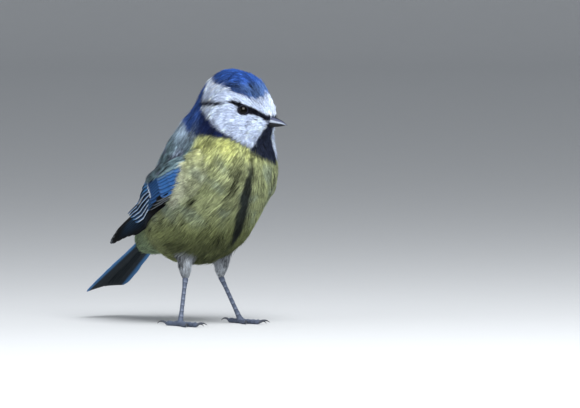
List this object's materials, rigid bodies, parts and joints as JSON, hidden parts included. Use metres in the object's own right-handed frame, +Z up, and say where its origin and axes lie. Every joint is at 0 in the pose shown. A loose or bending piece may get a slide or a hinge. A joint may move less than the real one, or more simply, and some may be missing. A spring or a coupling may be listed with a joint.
{
  "type": "blue tit, life-size still model",
  "caption": "Life-size still model of a blue tit that stands with its head turned to its left.",
  "frame": {"origin": "on the floor, under the middle of the model's bounding box", "axes": "+X the way the breast faces, +Y the bird's left, +Z up"},
  "size_m": [0.0928, 0.0458, 0.0918],
  "materials": {
    "plumage": "soft, silky body feathers in blue, white, yellow and green",
    "flight_feathers": "smooth satin vanes, blue with dark inner webs",
    "bill": "satin horn, blue-black with paler edges",
    "eye": "wet, near-black brown",
    "leg": "dull scaled skin, lead blue",
    "claw": "satin horn, dark grey"
  },
  "bodies": {
    "root": {"head": "plumage", "neck": "plumage", "torso": "plumage", "tail": "flight_feathers", "bill_upper": "bill", "bill_lower": "bill", "eye_right": "eye", "wing_right": "flight_feathers", "thigh_right": "plumage", "tarsus_right": "leg", "foot_right": "leg", "claw_right_hind": "claw", "claw_right_inner": "claw", "claw_right_middle": "claw", "claw_right_outer": "claw", "eye_left": "eye", "wing_left": "flight_feathers", "thigh_left": "plumage", "tarsus_left": "leg", "foot_left": "leg", "claw_left_hind": "claw", "claw_left_inner": "claw", "claw_left_middle": "claw", "claw_left_outer": "claw"}
  },
  "joints": []
}
